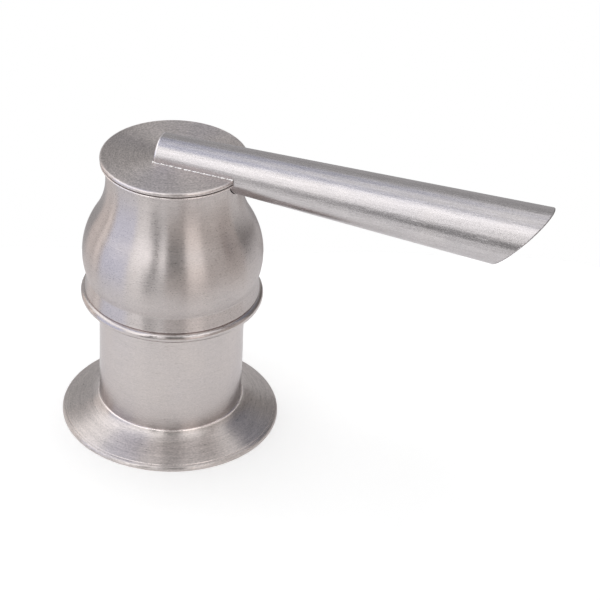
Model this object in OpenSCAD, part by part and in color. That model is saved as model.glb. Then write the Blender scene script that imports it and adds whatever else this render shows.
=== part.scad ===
// Deck-mounted soap dispenser: press-down head with a tapered spout on a fixed sleeve and flange,
// a piston pump inside, and the shank, nut and bottle that hang below the deck.
// The origin is the centre of the flange's underside on the deck, +Z is up, +X runs along the spout.

/* [Head] */
// Height of the head's flat top above the deck
head_h = 73; // [66:0.5:84]
// Radius of the flat top disc
disc_r = 17.7; // [17.3:0.1:20]
// Thickness of the top disc
disc_t = 1.1; // [0.8:0.1:1.6]
// Rounding of the top disc's edges
disc_edge = 0.3; // [0.1:0.05:0.35]
// Height of the shell's lip under the disc
lip_h = 0.6; // [0.4:0.1:1.2]
// Step from the disc's edge in to the lip's edge
lip_step = 0.15; // [0.05:0.05:0.3]
// Radius of the small cove under the lip
cove_r = 0.8; // [0.4:0.1:1]
// Radius of the neck at its narrowest
neck_r = 16.3; // [15.6:0.1:16.6]
// Drop from the flat top to the narrowest place of the neck
neck_drop = 6.2; // [5:0.1:8]
// Radius of the hollow curve of the neck, seen from the side
neck_arc = 20; // [16:0.5:24]
// Radius of the belly at its widest
belly_r = 21.9; // [21.4:0.05:22.6]
// Radius of the belly's round, seen from the side
belly_arc = 18; // [17:0.25:20]
// Radius of the waist under the belly
waist_r = 20.8; // [20.5:0.05:21]
// Radius of the hollow curve of the waist, seen from the side
waist_arc = 1.5; // [1:0.1:2.5]
// Height of the skirt below the waist
skirt_h = 3.9; // [3:0.1:4.5]
// Flare of the skirt in degrees
skirt_flare = 8.5; // [4:0.5:10]
// Rounding of the skirt's lower edge
skirt_edge = 0.4; // [0.2:0.05:0.5]
// Wall of the head shell
shell_t = 1; // [0.8:0.05:1.2]

/* [Bead ring] */
// Radius over the bead
bead_r = 22.25; // [22:0.05:23]
// Thickness of the bead
bead_t = 2.3; // [1.8:0.1:2.6]
// Height of the ring's inner web
bead_web_h = 2; // [1.4:0.1:2.2]
// Height of the guide bush above the skirt's end
bush_rise = 4.2; // [3:0.1:5]

/* [Spout] */
// Reach of the spout's upper edge from the head's axis
spout_reach = 91.4; // [75:0.1:110]
// Outer radius of the spout at the head's axis
spout_root_r = 4.95; // [4.7:0.05:5.4]
// Outer radius of the spout at its reach
spout_tip_r = 8.15; // [7:0.05:9.5]
// Droop of the spout's axis in degrees
spout_tilt = 1.75; // [0:0.25:4]
// Height of the spout's axis above the flat top
spout_lift = 0.2; // [0:0.05:0.6]
// Length of the spout behind the head's axis
spout_tail = 3.6; // [3.4:0.1:4.2]
// Wall of the spout
spout_wall = 0.9; // [0.7:0.05:1]
// Angle of the slanted mouth, from square, in degrees
mouth_angle = 38.9; // [25:0.1:45]

/* [Outlet] */
// Distance of the nozzle plug's face behind the mouth's lower lip
nozzle_recess = 3; // [2:0.5:6]
// Length of the nozzle plug
nozzle_len = 7; // [5:0.5:10]
// Radius of the nozzle's hole
nozzle_bore = 1.8; // [1.4:0.1:2.2]
// Outer radius of the delivery tube
tube_r = 2.7; // [2.5:0.05:2.9]
// Bore radius of the delivery tube
tube_bore = 1.9; // [1.7:0.05:2]
// Length of the elbow's spigot inside the delivery tube
spigot_len = 6; // [4:0.5:9]
// Length of the elbow's body in front of the riser
elbow_nose = 3.1; // [2:0.1:5]
// Bore radius of the elbow and the riser
riser_bore = 1.2; // [1:0.05:1.3]
// Outer radius of the riser
riser_r = 2.2; // [2:0.05:2.3]

/* [Stem socket] */
// Space between the spout and the socket's flange
socket_drop = 4.9; // [4:0.1:6]
// Thickness of the socket's flange
socket_flange_t = 2.8; // [2:0.1:4]
// Length of the socket below its flange
socket_len = 17; // [13:0.5:19]
// Outer radius of the socket
socket_r = 6.4; // [6.2:0.1:7]
// Thickness of the socket's seal ring
seal_t = 1.4; // [1.2:0.1:1.6]
// Height of the seal ring above the socket's lower end
seal_rise = 4; // [3:0.1:6]

/* [Pump] */
// Press travel
stroke = 14; // [9:0.5:15]
// Outer radius of the pump stem
stem_r = 4; // [3.8:0.05:4.2]
// Bore radius of the pump stem
stem_bore = 1.7; // [1.5:0.05:1.8]
// Length of the ball cage at the stem's top
cage_len = 5.4; // [5:0.1:7]
// Radius of the ball cage
cage_r = 2.6; // [2.5:0.05:2.8]
// Radius of the outlet ball
outlet_ball_r = 2.2; // [2:0.05:2.3]
// Bore radius of the pump cylinder
barrel_bore = 7.2; // [7:0.1:7.6]
// Wall of the pump cylinder
barrel_wall = 1.2; // [1:0.1:1.5]
// Radius of the cylinder's top rim
barrel_rim_r = 10.8; // [10:0.1:11]
// Thickness of the cylinder's top rim
barrel_rim_t = 1.5; // [1.2:0.1:2.5]
// Length of the piston
piston_len = 9; // [7:0.5:12]
// Depth of the groove between the piston's lips
piston_groove = 1.2; // [0.6:0.1:1.6]
// Height of each piston lip
piston_lip = 2; // [1.4:0.1:2.6]
// Length of the return spring at rest
spring_len = 28; // [26:0.5:34]
// Mean radius of the return spring
spring_r = 5.4; // [5.2:0.1:5.9]
// Thickness of the spring wire
wire_d = 1; // [0.8:0.05:1.2]
// Coils of the return spring
spring_turns = 8; // [6:1:9]
// Thickness of the cylinder's floor
barrel_floor = 2; // [1.5:0.1:3]
// Outer radius of the cylinder's tail
tail_r = 5; // [4.8:0.1:6]
// Radius of the inlet ball
inlet_ball_r = 2.6; // [2.4:0.05:2.8]
// Hole radius of the inlet ball's seat
inlet_seat_r = 1.9; // [1.6:0.05:2]
// Radius of the inlet ball's chamber
chamber_r = 3.2; // [3:0.05:3.4]
// Length of the inlet ball's chamber
chamber_len = 6.7; // [6.2:0.1:8]
// Length of the seat below the chamber
seat_len = 2; // [1.5:0.1:3]
// Length of the dip tube inside the tail
dip_seat = 7; // [5:0.5:10]

/* [Pump cap] */
// Radius of the cap's flange
cap_r = 15.2; // [14.6:0.1:15.8]
// Thickness of the cap's flange
cap_t = 2.5; // [2:0.1:4]
// Radius of the cap's hub
hub_r = 8; // [6.5:0.1:9]
// Gap between the hub and the socket at full press
press_gap = 2.5; // [1.5:0.1:5]
// Thickness of the ring seal under the cap
cap_seal_t = 1; // [0.8:0.1:1.6]

/* [Sleeve and flange] */
// Outer radius of the sleeve
sleeve_r = 17.75; // [17.4:0.05:17.9]
// Wall of the sleeve
sleeve_t = 1.3; // [1:0.05:1.5]
// Thickness of the sleeve's floor
sleeve_floor = 2.5; // [2:0.1:4]
// Height of the sleeve's upper end above the guide bush
sleeve_rise = 0.7; // [0.5:0.1:1.5]
// Outer radius of the flange
flange_r = 27; // [25.5:0.1:32]
// Height of the flange's outer edge
flange_edge = 1.3; // [1:0.1:2.5]
// Radius of the flange's rounded outer edge
flange_round = 0.9; // [0.6:0.05:0.95]
// Height of the flange's inner lip
flange_h = 5.9; // [5:0.1:9]
// Width of the rounded inner lip
flange_lip = 0.8; // [0.6:0.1:1.4]
// Hollow of the flange's sloping top
flange_sag = 0.3; // [0.1:0.05:0.6]
// Thickness of the ledge under the sleeve
ledge_t = 1.5; // [1:0.1:2.5]
// Inner radius of the deck gasket
gasket_inner_r = 19.6; // [18.5:0.1:21]
// Outer radius of the deck gasket
gasket_outer_r = 25; // [23:0.1:25.2]
// Thickness of the deck gasket
gasket_t = 1; // [0.6:0.1:1.3]

/* [Below the deck] */
// Thickness of the deck that the dispenser clamps
deck_t = 20; // [6:1:35]
// Outer radius of the threaded shank
shank_r = 13.5; // [13:0.1:14.5]
// Bore radius of the shank
shank_bore = 11.2; // [11.1:0.1:11.6]
// Thickness of the shank's collar
collar_t = 3; // [2:0.1:5]
// Outer radius of the two washers
washer_r = 22; // [20:0.5:26]
// Thickness of the rubber washer
rubber_t = 3; // [2:0.5:5]
// Thickness of the steel washer
steel_t = 1.5; // [1:0.1:2.5]
// Height of the mounting nut
nut_h = 12; // [9:0.5:16]
// Radius of the nut's barrel
nut_r = 17; // [16.5:0.1:18]
// Radius of the nut's flange
nut_flange_r = 20; // [18.5:0.5:22]
// Thickness of the nut's flange
nut_flange_t = 2.5; // [1.5:0.1:4]
// Radius over the nut's wings
nut_wing_r = 24; // [22:0.5:27]
// Slope of a wing's outer edge towards its lower end
nut_wing_slope = 2.5; // [1:0.5:4]
// Thickness of a wing
nut_wing_t = 3; // [2:0.5:4]
// Number of wings
nut_wings = 4; // [2:1:6]
// Space between the nut and the bottle's neck
neck_gap = 5.5; // [3:0.5:12]
// Length of the bottle's neck
bottle_neck_len = 16; // [12:0.5:20]
// Radius of the bottle
bottle_r = 31; // [27:0.5:36]
// Height of the bottle below its neck
bottle_h = 122; // [90:1:150]
// Wall of the bottle
bottle_wall = 1.4; // [1:0.1:2]
// Wall of the bottle's neck
bottle_neck_wall = 2.2; // [1.8:0.1:3]
// Rounding of the bottle's lower edge
bottle_edge = 6; // [4:0.5:9]
// Rise of the bottle's base over its rim
bottle_punt = 2; // [1:0.5:4]
// Outer radius of the dip tube
dip_r = 3; // [2.8:0.1:3.3]
// Bore radius of the dip tube
dip_bore = 2; // [1.6:0.1:2.2]
// Slant of the dip tube's lower end in degrees
dip_slant = 45; // [30:5:60]
// Space under the dip tube's lower end
dip_gap = 6; // [4:1:15]

/* [Clearances] */
// Seat clearance between pieces that are fixed together
seat_clear = 0.05; // [0.03:0.01:0.08]
// Clearance of the guide bush on the sleeve
guide_clear = 0.2; // [0.1:0.05:0.25]
// Clearance of the stem in the cap and of the socket on the stem
stem_clear = 0.08; // [0.05:0.01:0.1]
// Clearance of the piston in the cylinder
piston_clear = 0.08; // [0.05:0.01:0.1]
// Clearance of the shank in its holes, washers and nut
shank_clear = 0.2; // [0.1:0.05:0.4]
// Gap between a moving piece and its end stop
stop_gap = 0.3; // [0.2:0.05:0.4]

/* [Hidden] */
// Steps of a circle, of an outline's arc, of a small rounded edge, and of the spring's wire round itself
// and along each coil
$fn = 96;
arc_steps = 14;
edge_steps = 4;
wire_sides = 6;
wire_rings = 12;
// Overrun of a cutting solid past the face that it opens
cut = 1;

// Heights of the head, from its flat top down
disc_z = head_h - disc_t;
lip_z = disc_z - lip_h;
lip_r = disc_r - lip_step;
neck_z = head_h - neck_drop;
belly_x = belly_r - belly_arc;
belly_z = neck_z - tangent_rise(neck_r, neck_arc);
waist_z = belly_z - tangent_rise(waist_r, waist_arc);
skirt_z = waist_z - skirt_h;
bead_z = skirt_z - bead_t / 2;
spout_z = head_h + spout_lift;

// Pieces inside the head
bush_r = waist_r - shell_t - seat_clear;
bush_top = skirt_z + bush_rise;
bush_bottom = bead_z - bead_web_h / 2;
socket_top = spout_z - spout_root_r - socket_drop;
socket_ceiling = socket_top - socket_flange_t;
socket_bottom = socket_ceiling - socket_len;
past_head = 2 * disc_r;

// Distances along the spout's axis of the pieces inside the spout
elbow_r = spout_r(-spout_tail) - spout_wall - seat_clear;
elbow_start = -spout_tail + spout_wall + seat_clear;
elbow_end = riser_r + elbow_nose;
nozzle_end = mouth_low_reach() - nozzle_recess;
nozzle_start = nozzle_end - nozzle_len;
tube_end = nozzle_end - nozzle_len / 2;

// Heights of the fixed pieces, from the deck up
sleeve_bottom = ledge_t;
collar_z = sleeve_bottom + sleeve_floor;
collar_top = collar_z + collar_t;
cap_z = collar_top + cap_seal_t;
hub_top = socket_bottom - stroke - press_gap;
sleeve_top = bush_top + sleeve_rise;
sleeve_bore = sleeve_r - sleeve_t;
shank_hole = shank_r + shank_clear;
collar_r = sleeve_bore - shank_clear;

// Heights of the pump, from the cap down
piston_top = cap_z - stop_gap;
piston_z = piston_top - piston_len;
stem_top = socket_ceiling - stop_gap;
stem_bottom = piston_z + piston_lip;
cage_z = stem_top - cage_len;
barrel_r = barrel_bore + barrel_wall;
barrel_z = piston_z - spring_len;
chamber_top = barrel_z - barrel_floor;
seat_z = chamber_top - chamber_len;
dip_top = seat_z - seat_len;
tail_z = dip_top - dip_seat;

// Heights below the deck
rubber_z = -deck_t - rubber_t;
steel_z = rubber_z - steel_t;
nut_z = steel_z - nut_h;
bottle_top = nut_z - neck_gap;
bottle_shoulder = bottle_top - bottle_neck_len;
bottle_floor = bottle_shoulder - bottle_h;
shank_bottom = bottle_shoulder + bottle_neck_wall;
bottle_neck_r = shank_hole + bottle_neck_wall;
shoulder_arc = bottle_r - bottle_neck_r;

// Points along an arc about centre c from angle a0 to angle a1
function arc(c, r, a0, a1, steps = arc_steps) =
    [for (i = [0 : steps]) let (a = a0 + (a1 - a0) * i / steps) c + r * [cos(a), sin(a)]];

// Height between the belly's centre and the narrowest place of a hollow curve that meets it smoothly
function tangent_rise(narrow_r, hollow_arc) =
    sqrt(pow(belly_arc + hollow_arc, 2) - pow(narrow_r + hollow_arc - belly_x, 2));

// Centres of the head's three side curves
belly_c = [belly_x, belly_z];
neck_c = [neck_r + neck_arc, neck_z];
waist_c = [waist_r + waist_arc, waist_z];

// Angles from the belly's centre to the two places where the curves meet
neck_turn = atan2(neck_c.y - belly_c.y, neck_c.x - belly_c.x);
waist_turn = atan2(waist_c.y - belly_c.y, waist_c.x - belly_c.x);

// Radius of the straight skirt at height z, moved inwards by t
function skirt_at(z, t) =
    waist_c.x - (waist_arc + t) / cos(skirt_flare) + (waist_z - z) * tan(skirt_flare);

// Side curve of the head shell from the skirt up to height top, moved inwards by t
function shell_curve(t, top) = concat(
    arc(waist_c, waist_arc + t, 180 + skirt_flare, 180 + waist_turn, edge_steps),
    arc(belly_c, belly_arc - t, waist_turn, neck_turn),
    arc(neck_c, neck_arc + t, 180 + neck_turn, 180 - asin((top - neck_z) / (neck_arc + t)))
);

// Radius of the neck's curve at height z, moved inwards by t
function neck_at(z, t) = neck_c.x - sqrt(pow(neck_arc + t, 2) - pow(z - neck_z, 2));

// Outer radius of the spout at distance s along its axis
function spout_r(s) = spout_root_r + (spout_tip_r - spout_root_r) * s / spout_reach;

// Distance along the spout's axis of the mouth's lower lip
function mouth_low_reach() =
    let (slant = tan(mouth_angle), taper = (spout_tip_r - spout_root_r) / spout_reach)
    spout_reach - 2 * spout_tip_r * slant / (1 + slant * taper);

// Height of a ball's centre above the edge of its round seat
function ball_rise(ball_r, hole_r) = sqrt(ball_r * ball_r - hole_r * hole_r) + seat_clear;

// A ring of revolution about Z
module ring(inner_r, outer_r, z0, z1) {
    translate([0, 0, z0]) difference() {
        cylinder(h = z1 - z0, r = outer_r);
        translate([0, 0, -cut]) cylinder(h = z1 - z0 + 2 * cut, r = inner_r);
    }
}

// Moves its children from the Z axis on to the spout's axis, with local +X pointing down
module on_spout_axis() {
    translate([0, 0, spout_z]) rotate([0, 90 + spout_tilt, 0]) children();
}

// Round taper between two distances along the spout's axis, grown by g
module spout_taper(s0, s1, g) {
    on_spout_axis() translate([0, 0, s0]) cylinder(h = s1 - s0, r1 = spout_r(s0) + g, r2 = spout_r(s1) + g);
}

// Round rod between two distances along the spout's axis
module spout_rod(s0, s1, r) {
    on_spout_axis() translate([0, 0, s0]) cylinder(h = s1 - s0, r = r);
}

// Everything past the slanted mouth
module mouth_cut() {
    block = 4 * spout_tip_r;
    on_spout_axis() translate([-spout_tip_r, 0, spout_reach]) rotate([0, mouth_angle, 0])
        translate([-block, -block, 0]) cube([3 * block, 2 * block, block]);
}

// Belly, neck and skirt of the head as one thin turned shell, notched for the spout
module head_shell() {
    cove_z = lip_z - cove_r;
    cove_c = [neck_at(cove_z, 0) + cove_r, cove_z];
    edge_z = skirt_z + skirt_edge;
    color("#b9b3b0") difference() {
        rotate_extrude() polygon(concat(
            arc([skirt_at(edge_z, skirt_edge), edge_z], skirt_edge, -90, skirt_flare, edge_steps),
            shell_curve(0, cove_z),
            arc(cove_c, cove_r, 180, 90),
            [[lip_r, lip_z], [lip_r, disc_z]],
            [for (i = [len(shell_curve(shell_t, disc_z)) - 1 : -1 : 0]) shell_curve(shell_t, disc_z)[i]],
            [[skirt_at(skirt_z, shell_t), skirt_z]]
        ));
        spout_taper(-spout_tail, past_head, seat_clear);
    }
}

// Flat disc that closes the head, notched round the lower half of the spout
module top_disc() {
    color("#a8a29f") difference() {
        rotate_extrude() polygon(concat(
            [[0, disc_z]],
            arc([disc_r - disc_edge, disc_z + disc_edge], disc_edge, -90, 0),
            arc([disc_r - disc_edge, head_h - disc_edge], disc_edge, 0, 90),
            [[0, head_h]]
        ));
        spout_taper(-spout_tail - seat_clear, past_head, seat_clear);
    }
}

// Half-round bead under the skirt, on a web that seats on the guide bush
module bead_ring() {
    bead_c = bead_r - bead_t / 2;
    web_r = bush_r + seat_clear;
    color("#bdb7b4") rotate_extrude() union() {
        translate([bead_c, bead_z]) circle(d = bead_t);
        translate([web_r, bead_z - bead_web_h / 2]) square([bead_c - web_r, bead_web_h]);
    }
}

// Plastic bush inside the skirt that runs on the sleeve
module guide_bush() {
    color("#4a4a4d") ring(sleeve_r + guide_clear, bush_r, bush_bottom, bush_top);
}

// Tapered spout with a square closed inner end and a slanted mouth
module spout_tube() {
    color("#c1bbb8") difference() {
        spout_taper(-spout_tail, spout_reach, 0);
        spout_taper(-spout_tail + spout_wall, spout_reach + cut, -spout_wall);
        translate([0, 0, socket_top]) cylinder(h = spout_z - socket_top, r = riser_r + seat_clear);
        mouth_cut();
    }
}

// Elbow inside the spout's root: takes the riser from below and the delivery tube in front
module elbow() {
    color("#e4e2dc") difference() {
        union() {
            spout_rod(elbow_start, elbow_end, elbow_r);
            spout_rod(elbow_end - cut, elbow_end + spigot_len, tube_bore - seat_clear);
        }
        translate([0, 0, spout_z - spout_root_r - cut])
            cylinder(h = spout_root_r + cut, r = riser_r + seat_clear);
        spout_rod(0, elbow_end + spigot_len + cut, riser_bore);
    }
}

// Straight delivery tube from the elbow's spigot into the nozzle plug
module delivery_tube() {
    color("#eceae4") difference() {
        spout_rod(elbow_end + seat_clear, tube_end, tube_r);
        spout_rod(elbow_end, nozzle_end, tube_bore);
    }
}

// Tapered plug in the mouth with a socket for the delivery tube and a small hole
module nozzle() {
    color("#3a3a3c") difference() {
        spout_taper(nozzle_start, nozzle_end, -spout_wall - seat_clear);
        spout_rod(nozzle_start - cut, tube_end + seat_clear, tube_r + seat_clear);
        spout_rod(nozzle_start, nozzle_end + cut, nozzle_bore);
    }
}

// Plastic socket wedged in the neck: the pump stem enters from below, the riser feeds the elbow
module stem_socket() {
    wedge_r = neck_at(socket_top, shell_t) - seat_clear;
    riser_top = spout_z - riser_bore - seat_clear;
    groove_r = stem_r + stem_clear + seal_t / 2 + seat_clear;
    color("#dedcd6") difference() {
        union() {
            ring(0, socket_r, socket_bottom, socket_top);
            ring(0, wedge_r, socket_ceiling, socket_top);
            ring(0, riser_r, socket_ceiling, riser_top);
        }
        ring(0, stem_r + stem_clear, socket_bottom - cut, socket_ceiling);
        ring(0, riser_bore, socket_ceiling - cut, riser_top + cut);
        ring(0, groove_r, socket_bottom + seal_rise - seal_t / 2 - seat_clear,
             socket_bottom + seal_rise + seal_t / 2 + seat_clear);
    }
}

// Rubber ring in the socket's groove, flattened where it meets the stem
module stem_seal() {
    inner = stem_r + stem_clear / 2;
    outer = stem_r + stem_clear + seal_t / 2;
    color("#2b2b2d") rotate_extrude() intersection() {
        translate([outer - seal_t / 2, socket_bottom + seal_rise]) circle(d = seal_t, $fn = 32);
        translate([inner, socket_bottom + seal_rise - seal_t]) square([seal_t, 2 * seal_t]);
    }
}

// Hollow pump stem with a ball cage at its top
module pump_stem() {
    color("#f0efea") difference() {
        ring(0, stem_r, stem_bottom, stem_top);
        ring(0, stem_bore, stem_bottom - cut, stem_top + cut);
        ring(0, cage_r, cage_z, stem_top + cut);
    }
}

// Piston with two lips and a groove, seated on the stem's lower end
module piston() {
    lip = barrel_bore - piston_clear;
    groove = lip - piston_groove;
    bore = stem_r + seat_clear;
    color("#55555a") rotate_extrude() polygon([
        [stem_bore, piston_z], [lip, piston_z], [lip, piston_z + piston_lip],
        [groove, piston_z + piston_lip + piston_groove], [groove, piston_top - piston_lip - piston_groove],
        [lip, piston_top - piston_lip], [lip, piston_top], [bore, piston_top],
        [bore, stem_bottom], [stem_bore, stem_bottom]
    ]);
}

// One ring of the spring's wire at turn fraction f along the coil
function wire_ring(f) =
    let (
        a = 360 * spring_turns * f,
        climb = spring_len - wire_d - 2 * seat_clear,
        z = barrel_z + seat_clear + wire_d / 2 + climb * f
    )
    [for (k = [0 : wire_sides - 1]) let (
        b = 360 * k / wire_sides,
        r = spring_r + wire_d / 2 * cos(b)
    ) [r * cos(a), r * sin(a), z + wire_d / 2 * sin(b)]];

// Coiled return spring between the cylinder's floor and the piston
module return_spring() {
    rings = spring_turns * wire_rings;
    points = [for (i = [0 : rings]) each wire_ring(i / rings)];
    sides = [for (i = [0 : rings - 1], k = [0 : wire_sides - 1]) let (
        a = i * wire_sides + k,
        b = i * wire_sides + (k + 1) % wire_sides,
        c = a + wire_sides,
        d = b + wire_sides
    ) each [[a, c, d], [a, d, b]]];
    caps = concat(
        [for (k = [1 : wire_sides - 2]) [0, k, k + 1]],
        [for (k = [1 : wire_sides - 2]) [0, k + 1, k] + rings * wire_sides * [1, 1, 1]]
    );
    gap = points[wire_rings * wire_sides].z - points[0].z - wire_d;
    echo(least_gap_between_coils = gap);
    color("#c8c8ca") polyhedron(points = points, faces = concat(sides, caps));
}

// Outlet ball on its seat in the stem
module outlet_ball() {
    color("#d8d8da") translate([0, 0, cage_z + ball_rise(outlet_ball_r, stem_bore)])
        sphere(r = outlet_ball_r);
}

// Inlet ball on its seat in the cylinder's tail
module inlet_ball() {
    color("#d8d8da") translate([0, 0, seat_z + ball_rise(inlet_ball_r, inlet_seat_r)])
        sphere(r = inlet_ball_r);
}

// Flange on the deck: rounded outer edge, sloping top, rounded inner lip, ledge under the sleeve,
// gasket recess below
module flange() {
    bore = sleeve_r + seat_clear;
    lip_c = [bore + flange_lip / 2, flange_h - flange_lip / 2];
    edge_c = [flange_r - flange_round, flange_edge - flange_round];
    slope_out = [flange_r - flange_round, flange_edge];
    slope_in = [bore + flange_lip, flange_h - flange_lip / 2];
    color("#b4aeab") difference() {
        rotate_extrude() polygon(concat(
            [[shank_hole, 0], [flange_r, 0]],
            arc(edge_c, flange_round, 0, 90, edge_steps),
            [for (i = [1 : arc_steps]) let (f = i / arc_steps)
                slope_out + f * (slope_in - slope_out) - [0, 4 * flange_sag * f * (1 - f)]],
            arc(lip_c, flange_lip / 2, 0, 180),
            [[bore, sleeve_bottom], [shank_hole, sleeve_bottom]]
        ));
        ring(gasket_inner_r - seat_clear, gasket_outer_r + seat_clear, -cut, gasket_t);
    }
}

// Flat rubber gasket in the flange's underside
module deck_gasket() {
    color("#2b2b2d") ring(gasket_inner_r, gasket_outer_r, 0, gasket_t);
}

// Sleeve that the head slides down, with a floor that the shank's collar clamps
module sleeve() {
    color("#bab4b1") difference() {
        ring(0, sleeve_r, sleeve_bottom, sleeve_top);
        ring(0, sleeve_bore, collar_z, sleeve_top + cut);
        ring(0, shank_hole, 0, collar_z + cut);
    }
}

// Threaded shank through the deck, hung by its collar
module shank() {
    color("#2f2f31") difference() {
        union() {
            ring(0, collar_r, collar_z, collar_top);
            ring(0, shank_r, shank_bottom, collar_top);
        }
        ring(0, shank_bore, shank_bottom - cut, collar_top + cut);
    }
}

// Flat ring seal between the shank's collar and the pump's cap
module cap_seal() {
    color("#2b2b2d") ring(shank_bore + seat_clear, cap_r, collar_top, cap_z);
}

// Pump cap with the hub that guides the stem
module pump_cap() {
    color("#e4e2dc") difference() {
        union() {
            ring(0, cap_r, cap_z, cap_z + cap_t);
            ring(0, hub_r, cap_z, hub_top);
        }
        ring(0, stem_r + stem_clear, cap_z - cut, hub_top + cut);
    }
}

// Pump cylinder with its top rim, floor, ball chamber and tail
module pump_cylinder() {
    retain_r = inlet_ball_r - (chamber_r - inlet_ball_r);
    color("#f2f1ec") difference() {
        union() {
            ring(0, barrel_rim_r, cap_z - barrel_rim_t, cap_z);
            ring(0, barrel_r, chamber_top, cap_z);
            ring(0, tail_r, tail_z, barrel_z);
        }
        ring(0, barrel_bore, barrel_z, cap_z + cut);
        ring(0, retain_r, chamber_top - cut, barrel_z + cut);
        ring(0, chamber_r, seat_z, chamber_top);
        ring(0, inlet_seat_r, dip_top - cut, seat_z + cut);
        ring(0, dip_r + seat_clear, tail_z - cut, dip_top);
    }
}

// Dip tube from the cylinder's tail to the bottle's floor, cut slanting at its lower end
module dip_tube() {
    low = bottle_floor + bottle_punt + bottle_wall + dip_gap;
    block = 8 * dip_r;
    color("#f5f5f2") difference() {
        ring(dip_bore, dip_r, low, dip_top - seat_clear);
        translate([dip_r, 0, low]) rotate([0, dip_slant, 0]) translate([-block, -block / 2, -block])
            cube([2 * block, block, block]);
    }
}

// Rubber washer against the deck's underside
module rubber_washer() {
    color("#2b2b2d") ring(shank_hole, washer_r, rubber_z, -deck_t);
}

// Steel washer under the rubber washer
module steel_washer() {
    color("#c0c0c2") ring(shank_hole, washer_r, steel_z, rubber_z);
}

// Winged nut on the shank, with a flange under the steel washer
module mounting_nut() {
    wing_root = nut_r - nut_wing_t;
    color("#2f2f31") difference() {
        union() {
            ring(0, nut_r, nut_z, steel_z);
            ring(0, nut_flange_r, steel_z - nut_flange_t, steel_z);
            for (i = [0 : nut_wings - 1]) rotate([90, 0, 360 * i / nut_wings])
                linear_extrude(nut_wing_t, center = true) polygon([
                    [wing_root, nut_z], [nut_wing_r - nut_wing_slope, nut_z],
                    [nut_wing_r, steel_z - nut_flange_t], [wing_root, steel_z - nut_flange_t]
                ]);
        }
        ring(0, shank_hole, nut_z - cut, steel_z + cut);
    }
}

// Side of the bottle from the neck's top to the axis at its base, moved inwards by t
function bottle_side(t) = concat(
    [[bottle_neck_r - t, bottle_top]],
    arc([bottle_neck_r, bottle_shoulder - shoulder_arc], shoulder_arc - t, 90, 0),
    arc([bottle_r - bottle_edge, bottle_floor + bottle_edge], bottle_edge - t, 0, -90),
    [[0, bottle_floor + bottle_punt + t]]
);

// Blow-moulded bottle screwed to the shank's lower end
module bottle() {
    outer = bottle_side(0);
    inner = bottle_side(bottle_wall);
    throat = [[shank_hole, bottle_shoulder - bottle_wall], [shank_hole, bottle_top]];
    color("#e9e7e1") rotate_extrude() polygon(concat(
        outer,
        [for (i = [len(inner) - 1 : -1 : 1]) if (inner[i].x > shank_hole || i > arc_steps) inner[i]],
        throat
    ));
}

head_shell();
top_disc();
bead_ring();
guide_bush();
spout_tube();
elbow();
delivery_tube();
nozzle();
stem_socket();
stem_seal();
pump_stem();
piston();
return_spring();
outlet_ball();
inlet_ball();
flange();
deck_gasket();
sleeve();
shank();
cap_seal();
pump_cap();
pump_cylinder();
dip_tube();
rubber_washer();
steel_washer();
mounting_nut();
bottle();
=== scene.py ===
"""Looks of a deck-mounted soap dispenser: a turned satin-nickel head with a let-in spout on its sleeve and
flange, above a pale counter sample, and the threaded shank, washers, nut and soap bottle below it."""

import bpy
import numpy as np
from mathutils import Matrix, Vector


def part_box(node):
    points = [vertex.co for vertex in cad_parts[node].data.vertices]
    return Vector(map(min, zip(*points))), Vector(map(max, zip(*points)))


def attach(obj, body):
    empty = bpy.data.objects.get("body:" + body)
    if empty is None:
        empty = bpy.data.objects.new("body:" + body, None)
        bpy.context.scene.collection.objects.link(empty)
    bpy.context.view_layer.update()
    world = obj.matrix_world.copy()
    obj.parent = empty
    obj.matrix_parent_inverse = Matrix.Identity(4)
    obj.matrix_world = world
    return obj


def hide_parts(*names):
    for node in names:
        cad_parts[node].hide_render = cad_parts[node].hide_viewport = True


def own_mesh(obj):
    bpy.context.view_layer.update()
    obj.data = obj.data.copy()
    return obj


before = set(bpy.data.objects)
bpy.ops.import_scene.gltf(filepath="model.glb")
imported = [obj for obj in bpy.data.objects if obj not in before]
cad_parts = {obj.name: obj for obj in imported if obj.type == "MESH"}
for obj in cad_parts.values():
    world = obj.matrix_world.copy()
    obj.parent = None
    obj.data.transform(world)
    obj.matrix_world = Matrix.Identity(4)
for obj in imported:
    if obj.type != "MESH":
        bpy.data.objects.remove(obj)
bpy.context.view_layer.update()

MM = 0.001

# Camera of the picture: a square frame, its focal length in pixels and its place about the head's axis
IMAGE_SIDE = 600
FOCAL_PIXELS = 2401
SENSOR_WIDTH = 36
CAMERA_REACH = 492.45 * MM
CAMERA_HEIGHT = 356.29 * MM
CAMERA_PITCH = np.radians(33.236)
CAMERA_YAW = np.radians(3.647)
CAMERA_ROLL = np.radians(2.979)
CAMERA_CLIP = 10 * MM
SPOUT_TURN = np.radians(20.32)

# Head, bead ring and top disc
HEAD_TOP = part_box("top_disc")[1][2]
DISC_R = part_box("top_disc")[1][1]
DISC_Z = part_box("top_disc")[0][2]
DISC_EDGE = 0.48 * MM
DISC_UNDER_EDGE = 0.5 * MM
LIP_R = 17.62 * MM
LIP_H = 0.6 * MM
LIP_EDGE = 0.17 * MM
GROOVE_H = 0.2 * MM
GROOVE_DEPTH = 0.8 * MM
COVE_R = 0.8 * MM
NECK_R = 16.3 * MM
NECK_ARC = 20 * MM
NECK_Z = HEAD_TOP - 6.2 * MM
BELLY_R = 21.9 * MM
BELLY_ARC = 18 * MM
WAIST_R = 20.8 * MM
WAIST_ARC = 1.5 * MM
SKIRT_H = 3.9 * MM
SKIRT_FLARE = 8.5
SKIRT_EDGE = 0.4 * MM
SHELL_WALL = 1 * MM
BEAD_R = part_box("bead_ring")[1][1]
BEAD_T = 2.3 * MM
BEAD_WEB = 2 * MM
BEAD_INNER = WAIST_R - SHELL_WALL
SEAT = 0.05 * MM

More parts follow.
